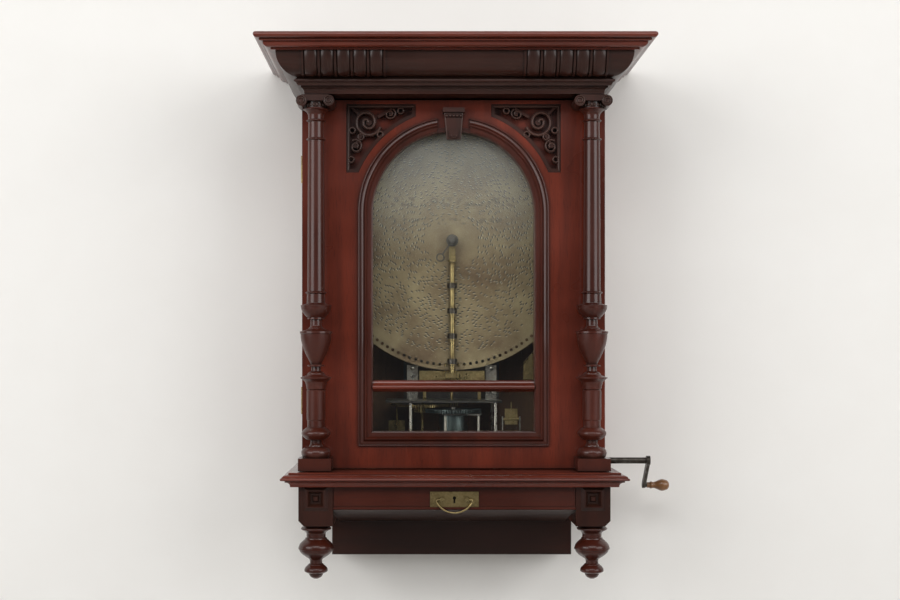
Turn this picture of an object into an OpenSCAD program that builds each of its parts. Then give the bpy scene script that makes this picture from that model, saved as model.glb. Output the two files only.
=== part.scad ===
// Wall-hung disc music box: a glazed mahogany case with turned columns, a tune disc that a spring
// motor turns, twin combs behind it, a side crank that winds it, a coin lever and a cash drawer.
// Frame: +Z up, +X to the right of someone facing it, front towards -Y. The wall is the plane Y = 0
// and Z = 0 is the top of the ledge that the door stands over.

/* [Disc] */
// Diameter of the tune disc
disc_d = 498; // [430:1:600]
// Thickness of the tune disc
disc_t = 1; // [0.8:0.1:1.5]
// Distance from the wall to the disc's middle plane
disc_y = 113; // [110:1:125]
// Number of drive holes round the rim
drive_holes = 126; // [100:1:150]
// Distance of the drive holes from the disc's edge
drive_inset = 10; // [9:0.5:14]

/* [Case] */
// Free gap between the disc's edge and the case sides
disc_gap = 14; // [8:1:60]
// Height under the disc, for the motor
motor_room = 183; // [175:1:230]
// Thickness of the case sides
side_t = 18; // [14:1:24]
// Thickness of the back board
back_t = 12; // [8:1:16]
// Distance from the wall to the back of the door
case_depth = 195; // [190:1:240]

/* [Door] */
// Thickness of the door
door_t = 28; // [22:1:36]
// Radius of the arched glass opening
window_r = 150; // [120:1:170]
// Height of the arch's centre above the disc's centre
arch_rise = 45; // [20:1:50]
// Height of the bottom edge of the window
window_low = 70.4; // [60:1:90]
// Width of the moulded frame round the window
bead_w = 27; // [22:1:30]
// Thickness of the glass
glass_t = 3; // [2:0.5:4]
// Distance that the columns stand in front of the door
porch = 60; // [56:1:66]

/* [Cornice] */
// Projection of the cornice past the case
cornice_out = 76; // [60:1:90]
// Height of the curved frieze
frieze_h = 44; // [36:1:60]
// Number of carved tongues in each group
tongues = 5; // [3:1:6]

/* [Base] */
// Height of the drawer front
drawer_h = 41; // [32:1:50]
// Height of the corner blocks
block_h = 72; // [60:1:90]
// Width of the corner blocks
block_w = 62.5; // [56:0.5:70]
// Depth that the tail below the soffit stands off the wall
tail_depth = 86; // [70:1:110]
// Height of the tail below the soffit
tail_h = 65; // [40:1:90]

/* [Crank] */
// Radius of the crank shaft
crank_r = 6; // [5:0.5:8]
// Gap between the ledge and the flange of the crank's bush
crank_gap = 0.1; // [0.1:0.1:4]
// Length that the crank shaft stands out of the case
crank_reach = 98; // [80:1:130]
// Length of the crank arm
crank_arm = 78; // [60:1:100]

/* [Motor] */
// Gear module of the motor's train
gear_m = 1.6; // [1.4:0.1:1.8]
// Teeth on the great wheel
great_teeth = 65; // [58:1:65]
// Radius of the spring drum
drum_r = 27; // [22:1:30]

/* [Fits] */
// Running gap round shafts and pins
run_gap = 0.06; // [0.03:0.01:0.1]
// Gap between pieces that swing or slide past each other
slide_gap = 0.8; // [0.6:0.1:1.5]

/* [Hidden] */

$fn = 64;
wood = [0.34, 0.13, 0.09];
dark_wood = [0.17, 0.08, 0.06];
brass = [0.72, 0.58, 0.30];
steel = [0.62, 0.62, 0.60];
iron = [0.13, 0.12, 0.12];
disc_metal = [0.50, 0.44, 0.33];

// Case: everything follows from the disc and the room round it
disc_r = disc_d / 2;
half_w = disc_r + disc_gap + side_t;
bush_flange = 3.9;
crank_z = crank_gap + crank_r + bush_flange;
inner_w = half_w - side_t;
disc_z = motor_room + disc_r;
case_h = disc_z + disc_r + 6;
door_back = -case_depth;
door_face = door_back - door_t;
case_front = door_back + 1.2;
porch_face = door_face - porch;
carcass_h = case_h + frieze_h + 26;
top_t = 15;
floor_t = 18;
door_low = 2;
door_top = case_h - 2;
window_z = disc_z + arch_rise;
frame_r = window_r + bead_w;

// Columns stand on the door, in line with the corner blocks
post_x = half_w - 28;
post_y = door_face - porch / 2 - 1;
plinth_w = 60;
plinth_top = 24;

// Hinges
hinge_x = -half_w - 0.5;
hinge_r = 3.5;
hinge_len = 51;
hinge_zs = [127, case_h - 127];
pin_r = 1.5;

// Base
ledge_t = 26;
block_top = -ledge_t - 0.5;
block_low = block_top - block_h;
block_front = porch_face - 2;
block_x0 = half_w + 2 - block_w;
soffit_t = 10;
drawer_low = block_top - drawer_h;
soffit_front = drawer_low - 1;
soffit_back = block_low - 13;
tail_half = half_w - 48;
tail_low = soffit_back - tail_h;

// Works
works_y = -disc_y;
sprocket_z = disc_z - disc_r + drive_inset;
hole_circle_r = disc_r - drive_inset;
sprocket_pins = 14;
sprocket_r = hole_circle_r * sprocket_pins / drive_holes;
sprocket_y = works_y + sprocket_r;
barrel_x = 2;
barrel_y = works_y - 20;
train_teeth = 60;
train_pinion = 18;
sprocket_pinion = 14;
fan_pinion = 14;
train_d1 = gear_m * (great_teeth + train_pinion) / 2;
train_d2 = gear_m * (train_teeth + sprocket_pinion) / 2;
train_xy = meeting_point([barrel_x, barrel_y], train_d1, [0, sprocket_y], train_d2);
fan_d = gear_m * (train_teeth + fan_pinion) / 2;
fan_angle = heading(train_xy, [0, sprocket_y]) + 22 * 360 / train_teeth;
fan_xy = train_xy + fan_d * [cos(fan_angle), sin(fan_angle)];
plate_low_z = 24;
plate_z = 122;
plate_t = 4;
great_z = 102;
great_t = 7;
wheel_z = 112.5;
wheel_t = 5;
pillar_xs = [-80, 81];
pillar_ys = [barrel_y - 32, barrel_y + 84];
pillar_r = 3.3;
bridge_xs = [-14, 49];
bridge_y = barrel_y - 33;
bar_y = works_y - 11;
bar_low = sprocket_z - 20;
bar_r = 5;
roller_zs = [for (k = [0 : 3]) sprocket_z + 7 + 48.5 * k];
knob_z = disc_z;
comb_low = sprocket_z + 12;
comb_top = disc_z - 34;
star_y = works_y + 14;
star_r = 7.5;
star_count = 40;
star_pitch = (comb_top - comb_low - 8) / star_count;

// Drawer
drawer_front_half = block_x0 - slide_gap;
drawer_half = drawer_front_half - 10;
drawer_t = 8;
drawer_back = -100;
front_t = 15;
pull_z = block_top - 23;
post_gap = 22.5;
bail_y = porch_face - 7;
wire_r = 1.5;

// Coin way
slot_z = disc_z - 40;
coin_y = works_y + 14;
coin_t = 6;
coin_w = 26;
lever_x = 111.5;
lever_z = 90;
lever_y = barrel_y - 20;

// One of the two points at distance a from p and b from q: the one on the left
function meeting_point(p, a, q, b) =
    let (d = norm(q - p), along = (a * a - b * b + d * d) / (2 * d))
    let (side = sqrt(a * a - along * along), u = (q - p) / d)
    p + along * u + side * [-u[1], u[0]];
function heading(p, q) = atan2(q[1] - p[1], q[0] - p[0]);

// Box between two corners
module block(x, y, z) {
    translate([x[0], y[0], z[0]]) cube([x[1] - x[0], y[1] - y[0], z[1] - z[0]]);
}
module rod_x(x, y, z, r) {
    translate([x[0], y, z]) rotate([0, 90, 0]) cylinder(h = x[1] - x[0], r = r);
}
module rod_y(x, y, z, r) {
    translate([x, y[0], z]) rotate([-90, 0, 0]) cylinder(h = y[1] - y[0], r = r);
}
module rod_z(x, y, z, r) {
    translate([x, y, z[0]]) cylinder(h = z[1] - z[0], r = r);
}
module both_sides() {
    children();
    mirror([1, 0, 0]) children();
}
// Plate that stands in the XZ plane, from the outline's (x, z), between two depths
module upright(y) {
    translate([0, y[1], 0]) rotate([90, 0, 0]) linear_extrude(y[1] - y[0]) children();
}

// Turned work. A station is [z, r, kind]; the kind of the stretch below it is
// 0 straight, 1 an S curve, 2 a bulge that starts steep, 3 a bulge that ends steep
STEPS = 9;
function rise(t, kind) =
    kind == 1 ? (1 - cos(180 * t)) / 2 : kind == 2 ? sin(90 * t) : kind == 3 ? 1 - cos(90 * t) : t;
function turned_points(s) = [
    for (i = [0 : len(s) - 1])
        let (kind = s[i][2], n = i == 0 || kind == 0 ? 1 : STEPS)
        for (j = [1 : n])
            let (t = i == 0 ? 1 : j / n, a = i == 0 ? s[0] : s[i - 1])
            [a[1] + (s[i][1] - a[1]) * rise(t, kind), a[0] + (s[i][0] - a[0]) * t]
];
module turned(s) {
    p = turned_points(s);
    rotate_extrude() polygon(concat([[0, s[0][0]]], p, [[0, s[len(s) - 1][0]]]));
}

// Moulding that runs round the front and both sides. The profile's points are [out, z] from a
// rectangle that reaches x = +-half and y = front; back is where the returns end
module wrapped_moulding(half, front, back = 0) {
    far = 700;
    intersection() {
        translate([-far, front, 0]) rotate([90, 0, 90]) linear_extrude(2 * far)
            mirror([1, 0]) children();
        translate([0, 0, -far]) linear_extrude(3 * far)
            polygon([[0, front + half], [-far, front + half - far], [far, front + half - far]]);
    }
    both_sides() intersection() {
        translate([half, back, 0]) rotate([90, 0, 0]) linear_extrude(2 * far) children();
        translate([0, 0, -far]) linear_extrude(3 * far)
            polygon([[0, back], [0, front + half], [far, front + half - far], [far, back]]);
    }
}

// Spur gear: straight-sided teeth, thinner than half the pitch so that they run free
module gear(teeth, height, bore_r = 0, phase = 0) {
    pitch_r = gear_m * teeth / 2;
    tip = pitch_r + 0.8 * gear_m;
    root = pitch_r - 1.15 * gear_m;
    step = 360 / teeth;
    corners = [[root, -0.29], [tip, -0.1], [tip, 0.1], [root, 0.29]];
    difference() {
        rotate([0, 0, phase]) linear_extrude(height) polygon([
            for (k = [0 : teeth - 1])
                for (c = corners)
                    c[0] * [cos(step * (k + c[1])), sin(step * (k + c[1]))]
        ]);
        if (bore_r > 0) translate([0, 0, -1]) cylinder(h = height + 2, r = bore_r);
    }
}

// Body
module case_side(side) {
    x = side < 0 ? [-half_w, -inner_w] : [inner_w, half_w];
    difference() {
        block(x, [case_front, 0], [0, carcass_h]);
        if (side < 0) for (z = hinge_zs)
            rod_z(hinge_x, door_back, [z - hinge_len / 2 - 1, z + hinge_len / 2 + 1], hinge_r + 0.5);
        if (side > 0) {
            block([inner_w - 1, half_w + 1], [coin_y - coin_t / 2, coin_y + coin_t / 2],
                [slot_z - coin_w / 2, slot_z + coin_w / 2]);
            rod_x([inner_w - 1, half_w + 1], barrel_y, crank_z, crank_r + 2.5);
        }
    }
}
module case_side_left() color(wood) case_side(-1);
module case_side_right() color(wood) case_side(1);

module back_board() color(dark_wood) difference() {
    block([-inner_w, inner_w], [-back_t, 0], [soffit_back, carcass_h]);
    both_sides() rod_y(hanger_x, [-back_t - 1, 1], hanger_z, 4);
}

module top_boards() color(dark_wood) {
    block([-inner_w, inner_w], [case_front, -back_t], [case_h + 2, case_h + 2 + top_t]);
    block([-half_w, half_w], [porch_face + 20, 0], [carcass_h, carcass_h + top_t]);
}

module floor_board() color(wood) difference() {
    block([-half_w, half_w], [porch_face, 0], [-floor_t, 0]);
    block([-inner_w, inner_w], [-back_t, 1], [-floor_t - 1, 1]);
    block([lever_x - 14, lever_x + 14], [lever_y - 8, lever_y + 8], [-floor_t - 1, 1]);
}

// Cornice: a fascia box over the door, a curved frieze, and the crown
frieze_low = case_h + 14;
fascia_t = 20;
module entablature_profile() {
    z = case_h + 1;
    cove = [for (t = [0 : 15 : 90]) [-8 + 6 * (1 - cos(t)), z + 1 + 9 * sin(t)]];
    polygon(concat([[-fascia_t, z], [-8, z]], cove, [[-2, frieze_low], [0, frieze_low],
        [0, carcass_h], [-fascia_t, carcass_h]]));
}
module entablature() color(wood) {
    wrapped_moulding(half_w, porch_face, case_front) entablature_profile();
    block([fascia_t - half_w - 0.1, half_w - fascia_t + 0.1],
        [porch_face + fascia_t - 0.1, case_front], [case_h + 1, case_h + 14]);
}

// Frieze: a bulging quarter round over a small bead, divided by ribs into tongues
frieze_foot = 4;
frieze_base = frieze_low + 15;
frieze_top = carcass_h;
module frieze_profile(out = 0) {
    reach = cornice_out - 40;
    height = frieze_top - frieze_base;
    curve = [for (t = [0 : 6 : 90]) [frieze_foot + (reach + out) * sin(t),
        frieze_top - (height + out) * cos(t)]];
    polygon(concat([[0, frieze_base - out]], curve, [[0, frieze_top]]));
}
tongue_pitch = 29.5;
rib_w = 4;
rib_relief = 2.6;
rib_x = half_w - 7.5;
module rib(x) {
    foot = frieze_base + 1;
    intersection() {
        translate([x - rib_w, porch_face, 0]) rotate([90, 0, 90]) linear_extrude(2 * rib_w)
            mirror([1, 0]) frieze_profile(rib_relief);
        upright([porch_face - cornice_out, porch_face]) union() {
            translate([x - rib_w / 2, foot]) square([rib_w, frieze_top - foot]);
            translate([x, foot]) circle(r = rib_w / 2);
        }
    }
}
module frieze_moulding() color(dark_wood) {
    wrapped_moulding(half_w, porch_face) union() {
        frieze_profile();
        translate([0, frieze_low]) polygon([[0, 0], [3.5, 0], [3.5, 1.5], [6, 5], [6, 12],
            [frieze_foot, 15], [0, 15]]);
        translate([6.5, frieze_low + 8.5]) circle(r = 3);
    }
    both_sides() for (k = [0 : tongues]) rib(rib_x - tongue_pitch * k);
}

module crown_profile() {
    z = carcass_h;
    cove = [for (t = [0 : 15 : 90]) [cornice_out - 24 + 9 * sin(t), z + 3 + 9 * (1 - cos(t))]];
    bead = [for (t = [-80 : 20 : 80]) [cornice_out - 11 + 2 * cos(t), z + 14.5 + 2 * sin(t)]];
    nose = [for (t = [-90 : 15 : 90]) [cornice_out - 6 + 6.5 * cos(t), z + 22 + 5.5 * sin(t)]];
    polygon(concat([[-19, z], [cornice_out - 28, z], [cornice_out - 28, z + 3]], cove, bead, nose,
        [[cornice_out - 9, z + 28], [-19, z + 28]]));
}
module crown_moulding() color(wood) {
    difference() {
        wrapped_moulding(half_w, porch_face) crown_profile();
        block([-half_w, half_w], [porch_face + 20, 1], [0, carcass_h + top_t]);
    }
}

// Base
module base_profile() {
    slope = [for (t = [0 : 15 : 90]) [19 + 11 * sin(t), -3.5 - 5.5 * (1 - cos(t))]];
    nose = [for (t = [80 : -20 : -80]) [31 + 2 * cos(t), -11.5 + 2.2 * sin(t)]];
    under = [for (t = [0 : 15 : 90]) [25 - 9 * sin(t), -17 - 7.5 * (1 - cos(t))]];
    polygon(concat([[0, 0], [18, 0], [19, -1]], slope, nose, [[25, -14.5]], under, [[16, -26],
        [0, -26]]));
}
module base_moulding() color(wood) wrapped_moulding(half_w, porch_face) base_profile();

module base_sides() color(wood) {
    both_sides() {
        block([inner_w, half_w], [door_face, 0], [soffit_back + 20, -floor_t]);
        block([block_x0, inner_w + 0.1], [block_front + block_w, -back_t], [block_low, -floor_t]);
    }
    block([-block_x0 + 30, block_x0 - 30], [door_face + 30, door_face + 45],
        [-ledge_t - 0.3, -floor_t]);
}

// Square frustum that faces forwards, from half-width w[0] at depth y[0] to w[1] at y[1]
module frustum(x, z, y, w) {
    hull() for (k = [0, 1])
        block([x - w[k], x + w[k]], [y[k] - 0.01, y[k] + 0.01], [z - w[k], z + w[k]]);
}
module corner_block() {
    front = block_front;
    back = front + block_w;
    x1 = block_x0 + block_w;
    cx = (block_x0 + x1) / 2;
    cz = block_top - 22;
    difference() {
        block([block_x0, x1], [front, back], [block_low, block_top]);
        translate([x1, 0, block_low]) rotate([0, 45, 0]) cube([14, 1000, 14], center = true);
        block([inner_w - 0.01, x1 + 1], [door_face, back + 1], [block_low - 1, block_top + 1]);
        frustum(cx, cz, [front + 3, front - 6], [9, 14.5]);
    }
    difference() {
        frustum(cx, cz, [front, front - 5], [22, 16]);
        frustum(cx, cz, [front + 3, front - 6], [9, 14.5]);
    }
    frustum(cx, cz, [front + 3, front - 1], [6, 3.5]);
}
module corner_blocks() color(dark_wood) both_sides() corner_block();

finial_stations = [[0, 22, 0], [2, 22, 0], [4, 25, 0], [7, 27.8, 2], [9.5, 26, 3], [11, 22, 0],
    [17, 17.5, 2], [23, 17.5, 0], [24, 19.5, 0], [26, 20, 2], [41.5, 31.8, 2], [42, 32.4, 0],
    [44.5, 32.4, 0], [45.3, 30.6, 0], [62, 13.5, 3], [66, 11.4, 2], [71, 11.4, 0], [72, 13.5, 0],
    [73.5, 14.5, 2], [82.5, 21.4, 2], [84.5, 21.4, 0], [89.5, 13.2, 3], [92, 12.6, 0],
    [93, 11.6, 0], [99, 4, 3]];
module finials() color(wood) both_sides()
    translate([post_x, post_y, block_low]) rotate([180, 0, 0]) turned(finial_stations);

soffit_slope = (soffit_back - soffit_front) / (-tail_depth - porch_face);
module sloped_board(half, front) {
    z = soffit_front + (front - porch_face) * soffit_slope;
    translate([-half, 0, 0]) rotate([90, 0, 90]) linear_extrude(2 * half) polygon([
        [front, z], [-tail_depth, soffit_back],
        [-tail_depth, soffit_back + soffit_t], [front, z + soffit_t]]);
}
module soffit_panel() color(dark_wood) difference() {
    union() {
        sloped_board(block_x0, porch_face + 2);
        block([-inner_w, inner_w], [-tail_depth - 0.1, -back_t], [soffit_back, soffit_back + soffit_t]);
    }
    block([-half_w, half_w], [-600, door_face + 10], [drawer_low - 0.5, 0]);
}
module tail_box() color(dark_wood) difference() {
    block([-tail_half, tail_half], [-tail_depth, 0], [tail_low, soffit_back]);
    block([-tail_half + 12, tail_half - 12], [-tail_depth + 10, 1], [tail_low + 10, soffit_back + 1]);
}

// Wall hangers: a brass plate at each side of the back, with the hole for the wall screw
hanger_x = half_w - 70;
hanger_z = case_h - 40;
hanger_hole_r = 3;
module wall_hangers() color(brass) both_sides() difference() {
    block([hanger_x - 16, hanger_x + 16], [-back_t - 2.5, -back_t], [hanger_z - 26, hanger_z + 26]);
    rod_y(hanger_x, [-back_t - 3, -back_t + 1], hanger_z, hanger_hole_r);
    for (dz = [-19, 19]) rod_y(hanger_x, [-back_t - 3, -back_t + 1], hanger_z + dz, 2);
}

// Hinges: three knuckles round one pin; the middle one belongs to the door
knuckle = hinge_len / 3;
leaf_w = 24;
module knuckles(parts, reach_y) {
    for (z = hinge_zs) for (k = parts) {
        z0 = z - hinge_len / 2 + k * knuckle + 0.2;
        z1 = z0 + knuckle - 0.4;
        difference() {
            union() {
                rod_z(hinge_x, door_back, [z0, z1], hinge_r);
                block([hinge_x - 0.6, hinge_x + leaf_w], reach_y, [z0, z1]);
            }
            rod_z(hinge_x, door_back, [z0 - 1, z1 + 1], pin_r + run_gap);
        }
    }
}
module hinge_case_leaves() color(brass) knuckles([0, 2], [case_front - 0.6, case_front]);
module hinge_door_leaves() color(brass) knuckles([1], [door_back, door_back + 0.5]);
module hinge_pins() color(brass) for (z = hinge_zs)
    rod_z(hinge_x, door_back, [z - hinge_len / 2, z + hinge_len / 2], pin_r);

// Coin way: a slot in the right side, a chute down inside it, and the lever that the coin tips
module coin_slot_plate() color(brass) difference() {
    union() {
        block([half_w, half_w + 2.5], [coin_y - 9, coin_y + 9], [slot_z - 20, slot_z + 18]);
        block([half_w + 2.5, half_w + 4], [coin_y - 6, coin_y + 6], [slot_z + 14, slot_z + 17]);
    }
    block([half_w - 1, half_w + 5], [coin_y - coin_t / 2, coin_y + coin_t / 2],
        [slot_z - coin_w / 2, slot_z + coin_w / 2]);
}

chute_wall = 1.5;
chute_turn = [inner_w - 17, slot_z - 96];
chute_end = [150, 192];
module chute_path(wide) {
    module leg(a, b) {
        v = b - a;
        translate(a) rotate(atan2(v[1], v[0])) translate([0, -wide / 2]) square([norm(v), wide]);
    }
    leg([inner_w - 17, slot_z + 22], chute_turn);
    translate(chute_turn) circle(r = wide / 2);
    leg(chute_turn, [chute_end[0] + 3, chute_end[1]]);
    translate([chute_end[0] + 3, chute_end[1]]) circle(r = wide / 2);
    leg([chute_end[0] + 3, chute_end[1]], [chute_end[0] + 3, 165]);
}
module coin_chute() color(brass) {
    outer = coin_t / 2 + chute_wall;
    difference() {
        upright([coin_y - outer, coin_y + outer]) chute_path(coin_w + 2 * chute_wall);
        upright([coin_y - coin_t / 2, coin_y + coin_t / 2]) chute_path(coin_w);
        block([0, 400], [coin_y - coin_t / 2, coin_y + coin_t / 2], [160, 166]);
        block([inner_w - 8, inner_w + 1], [coin_y - coin_t / 2, coin_y + coin_t / 2],
            [slot_z - coin_w / 2, slot_z + coin_w / 2]);
    }
}

module coin_lever() color(brass) difference() {
    union() {
        block([lever_x - 12, lever_x + 12], [lever_y - 1, lever_y + 1], [lever_z - 10, lever_z + 20]);
        rod_x([lever_x - 14.8, lever_x + 14.8], lever_y, lever_z, 2.5);
        rod_z(lever_x, lever_y, [lever_z + 20, lever_z + 33], 1);
        block([lever_x - 11, lever_x + 11], [lever_y + 1, lever_y + 14], [lever_z - 10, lever_z - 8.5]);
    }
    rod_x([lever_x - 16, lever_x + 16], lever_y, lever_z, 1.2 + run_gap);
}

module coin_bracket() color(steel) {
    for (s = [-1, 1]) block([lever_x + s * 16.5 - 1, lever_x + s * 16.5 + 1],
        [lever_y - 4, lever_y + 4], [0, lever_z + 5]);
    rod_x([lever_x - 15.6, lever_x + 15.6], lever_y, lever_z, 1.2);
}

module crank_bush() color(brass) difference() {
    union() {
        rod_x([inner_w - 3, half_w + 1.5], barrel_y, crank_z, crank_r + 2.5);
        rod_x([half_w, half_w + 1.5], barrel_y, crank_z, crank_r + bush_flange);
    }
    rod_x([inner_w - 4, half_w + 3], barrel_y, crank_z, crank_r + run_gap);
}

// Bedplate: the iron plate behind the disc that carries the combs and the spindle
bed_y = [-48, -39];
bed_half = 94;
bed_low = plate_z + plate_t;
bed_top = disc_z + 34;
module bedplate() color(iron) {
    difference() {
        union() {
            block([-bed_half, bed_half], bed_y, [bed_low, disc_z - 20]);
            upright(bed_y) polygon([[-bed_half, disc_z - 20.5], [bed_half, disc_z - 20.5],
                [30, bed_top], [-30, bed_top]]);
        }
        rod_y(0, [bed_y[0] - 1, bed_y[1] + 1], disc_z, 5);
        for (x = [-80, 80]) for (z = [bed_low + 24, disc_z - 27])
            rod_y(x, [bed_y[0] - 1, bed_y[1] + 1], z, 3 + run_gap);
        block([-9, 9], [bed_y[0] - 1, bed_y[1] + 1], [bed_low + 30, comb_low - 8]);
    }
}
module bedplate_posts() color(steel) for (x = [-80, 80]) for (z = [bed_low + 24, disc_z - 27]) {
    rod_y(x, [bed_y[0] - 4, -back_t], z, 3);
    rod_y(x, [bed_y[1], -back_t], z, 6);
    rod_y(x, [bed_y[0] - 4, bed_y[0]], z, 6);
}

// Combs: tuned steel teeth that point at the star wheels, longest at the bottom
comb_teeth = 39;
comb_t = 3;
module comb() color(steel) {
    pitch = (comb_top - comb_low) / comb_teeth;
    y = [star_y + 6, star_y + 6 + comb_t];
    block([62, 88], [y[0], y[1] + 6], [comb_low, comb_top]);
    for (k = [0 : comb_teeth - 1])
        block([13 + 20 * k / comb_teeth, 62.5], y,
            [comb_low + pitch * k + 0.4, comb_low + pitch * (k + 1) - 0.4]);
}
module comb_left() mirror([1, 0, 0]) comb();
module comb_right() comb();
module comb_clamps() color(iron) {
    pitch = (comb_top - comb_low) / 4;
    both_sides() {
        block([62, 88], [star_y + 6 + comb_t + 6, bed_y[0]], [comb_low, comb_top]);
        for (k = [0 : 3]) translate([75, star_y + 6, comb_low + pitch * (k + 0.5)])
            rotate([90, 0, 0]) cylinder(h = 3, r = 4);
    }
}

// Star gantry: the upright rail that holds the star wheels' shaft behind the disc
module star_gantry() color(brass) difference() {
    union() {
        block([-6, 6], [star_y + 11, bed_y[0]], [comb_low - 8, comb_top + 8]);
        for (z = [comb_low - 8, comb_top + 2])
            block([-6, 6], [star_y - 4, star_y + 11.1], [z, z + 6]);
        rod_z(0, star_y, [comb_low - 3, comb_top + 3], 1.5);
    }
}
star_low = comb_low + 2;
module star_wheels() color(brass) difference() {
    union() {
        rod_z(0, star_y, [star_low, star_low + star_pitch * star_count], 3.2);
        for (k = [0 : star_count - 1]) translate([0, star_y, star_low + star_pitch * (k + 0.25)])
            linear_extrude(star_pitch * 0.5) polygon([for (j = [0 : 11])
                (j % 2 == 0 ? star_r : 4) * [cos(30 * j), sin(30 * j)]]);
    }
    rod_z(0, star_y, [star_low - 1, star_low + star_pitch * star_count + 1], 1.5 + run_gap);
}

module disc_spindle() color(steel) {
    rod_y(0, [works_y + 2, bed_y[1]], disc_z, 5);
    rod_y(0, [works_y + disc_t / 2 + 0.4, works_y + 4], disc_z, 14);
    rod_y(0, [bar_y - 0.5, works_y + 3], disc_z, 3);
}

module disc_rests() color(steel) both_sides() {
    rod_y(76, [works_y + 5, sprocket_y], sprocket_z - 6, 2);
    translate([76, works_y + 5, sprocket_z - 6]) sphere(r = 4);
    block([66, 87], [sprocket_y, sprocket_y + 8], [plate_z + plate_t, sprocket_z - 1]);
}

module ornament_plate() color(brass) {
    y = works_y + 8;
    block([-63, 63], [y - 2, y], [sprocket_z - 29, sprocket_z - 11.5]);
    both_sides() {
        block([50, 56], [y, y + 6], [plate_z + plate_t, sprocket_z - 12]);
        block([8.5, 13], [bar_y - 5, y - 1.9], [bar_low - 5, bar_low + 5]);
        rod_x([3.5, 13], bar_y, bar_low, 2);
    }
}

// Motor: two plates on pillars, with every upright arbor between them
module motor_plates() color(iron) {
    x = [fan_xy[0] - 20, pillar_xs[1] + 12];
    y = [barrel_y - 44, bed_y[1]];
    difference() {
        block(x, y, [plate_z, plate_z + plate_t]);
        rod_z(0, sprocket_y, [plate_z - 1, plate_z + 5], 3 + run_gap);
        rod_z(train_xy[0], train_xy[1], [plate_z - 1, plate_z + 5], 2.5 + run_gap);
    }
    difference() {
        block(x, y, [plate_low_z, plate_low_z + plate_t]);
        rod_z(barrel_x, barrel_y, [plate_low_z - 1, plate_low_z + 5], arbor_r + run_gap);
        rod_z(train_xy[0], train_xy[1], [plate_low_z - 1, plate_low_z + 5], 2.5 + run_gap);
        rod_z(fan_xy[0], fan_xy[1], [plate_low_z - 1, plate_low_z + 5], 1.5 + run_gap);
    }
    difference() {
        union() {
            block([bridge_xs[0] - 6, bridge_xs[1] + 6], [bridge_y - 6, bridge_y + 6],
                [great_z - 4, great_z - 1]);
            block([barrel_x - 12, barrel_x + 12], [bridge_y, barrel_y + 42],
                [great_z - 4, great_z - 1]);
        }
        rod_z(barrel_x, barrel_y, [great_z - 5, great_z], 8 + run_gap);
    }
}
module motor_pillars() color(steel) {
    for (x = pillar_xs) for (y = pillar_ys) {
        rod_z(x, y, [plate_low_z + plate_t, plate_z], pillar_r);
        rod_z(x, y, [0, plate_low_z], pillar_r + 2);
    }
    for (x = bridge_xs) rod_z(x, bridge_y, [plate_low_z + plate_t, great_z - 4], 2.5);
    rod_z(barrel_x, barrel_y + 36, [plate_low_z + plate_t, great_z - 4], 2.5);
}
// Door
module window_shape(r, low) {
    translate([0, window_z]) circle(r = r);
    translate([-r, low]) square([2 * r, window_z - low]);
}
rebate = 8;
recess_depth = 14;
module door_frame() color(wood) difference() {
    block([-half_w, half_w], [door_face, door_back], [door_low, door_top]);
    upright([door_face - 1, door_back + 1]) window_shape(window_r + rebate, window_low - rebate);
    for (z = hinge_zs)
        rod_z(hinge_x, door_back, [z - hinge_len / 2 - 1, z + hinge_len / 2 + 1], hinge_r + 0.5);
    upright([door_face - 1, door_face + recess_depth]) both_sides_2d() spandrel_shape(0);
}

// Moulded bead: stands proud of the door round the window, and lines the opening. From the outside
// in, it has an edge bead, a groove, a long rise to the crest, two steps down and a lip
bead_out = 7.6;
module bead_profile(w) {
    edge = [for (t = [0 : 20 : 180]) [w - 1.6 + 1.6 * cos(t), 3.4 + 1.6 * sin(t)]];
    rise = [for (t = [0 : 15 : 90]) [w - 4 - (w - 19.5) * sin(t), 3 + (bead_out - 3.4) * (1 - cos(t))]];
    lining = -(door_t - 10);
    polygon(concat([[w, 0]], edge, [[w - 3.6, 2.2]], rise, [[15.2, 6.4], [14.4, bead_out],
        [12.6, bead_out], [9.8, 4.2], [9, 3.4], [3, 2.8], [2, 1], [0.7, 0.6], [0, -2],
        [0, lining], [rebate - 0.2, lining], [rebate - 0.2, 0]]));
}
module window_moulding() color(wood) difference() {
    union() {
        translate([0, 0, window_z]) rotate([90, 0, 0]) translate([0, 0, -door_face])
            rotate_extrude(angle = 180) translate([window_r, 0]) bead_profile(bead_w);
        both_sides() intersection() {
            translate([0, 0, window_low - 30]) linear_extrude(window_z - window_low + 30)
                translate([window_r, door_face]) mirror([0, 1]) bead_profile(bead_w);
            upright([door_face - 20, door_back]) polygon([[window_r, window_low],
                [window_r + bead_w, window_low - bead_w], [window_r + bead_w, window_z],
                [window_r, window_z]]);
        }
        intersection() {
            translate([-300, door_face, window_low]) rotate([0, 90, 0]) linear_extrude(600)
                mirror([0, 1]) bead_profile(bead_w);
            upright([door_face - 20, door_back]) polygon([[-window_r, window_low],
                [window_r, window_low], [window_r + bead_w, window_low - bead_w],
                [-window_r - bead_w, window_low - bead_w]]);
        }
    }
    block([-30, 30], [door_face - 20, door_face], [keystone_low - 1, keystone_low + 90]);
}

module door_glass() color([0.8, 0.85, 0.85, 0.3])
    upright([door_back - 9.5, door_back - 9.5 + glass_t])
        window_shape(window_r + rebate - 0.5, window_low - rebate + 0.5);

module glass_beads() color(wood) difference() {
    upright([door_back - 9.5 + glass_t, door_back - 0.5])
        window_shape(window_r + rebate - 0.2, window_low - rebate + 0.2);
    upright([door_back - 10, door_back]) window_shape(window_r, window_low);
}

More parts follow.
